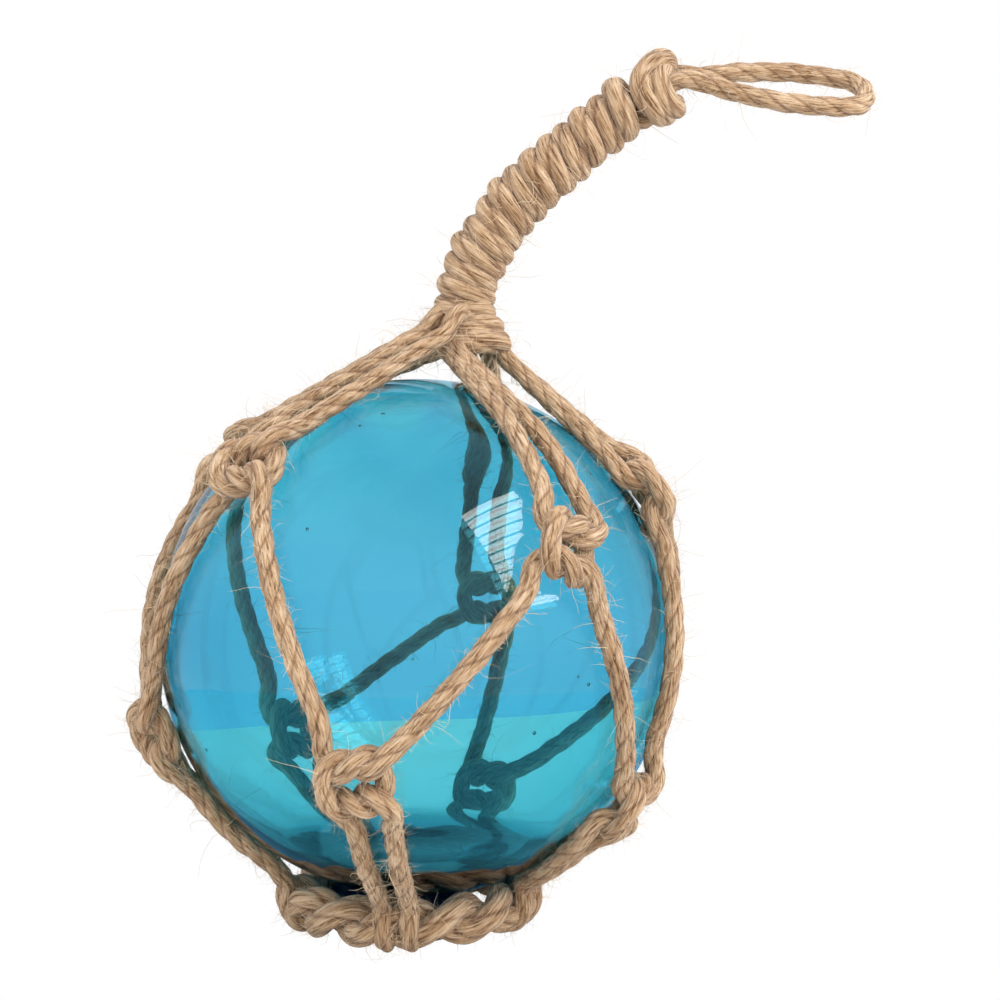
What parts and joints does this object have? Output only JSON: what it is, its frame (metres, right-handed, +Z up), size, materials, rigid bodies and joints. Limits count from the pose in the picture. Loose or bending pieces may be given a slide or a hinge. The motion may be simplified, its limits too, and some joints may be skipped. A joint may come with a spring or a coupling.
{
  "type": "glass float ball",
  "caption": "Blown glass fishing float ball in a knotted jute net, standing on its seal, with a rope-wound handle bent to one side and a rope eye to hang it by.",
  "frame": {"origin": "On the floor, at the middle of the flat underside of the glass seal.", "axes": "+Z up, +X towards the side that the handle bends to, -Y towards the front of the net."},
  "size_m": [0.1814, 0.1445, 0.2152],
  "materials": {
    "glass": "clear cyan blown glass, smooth, with a few seeds",
    "jute": "three-strand laid jute rope, hairy"
  },
  "bodies": {
    "root": {"glass_ball": "glass", "base_ring": "jute", "net_cord_1_left": "jute", "net_cord_1_right": "jute", "net_cord_2_left": "jute", "net_cord_2_right": "jute", "net_cord_3_left": "jute", "net_cord_3_right": "jute", "net_cord_4_left": "jute", "net_cord_4_right": "jute", "net_cord_5_left": "jute", "net_cord_5_right": "jute", "handle_serving": "jute", "hanging_eye": "jute"}
  },
  "joints": []
}
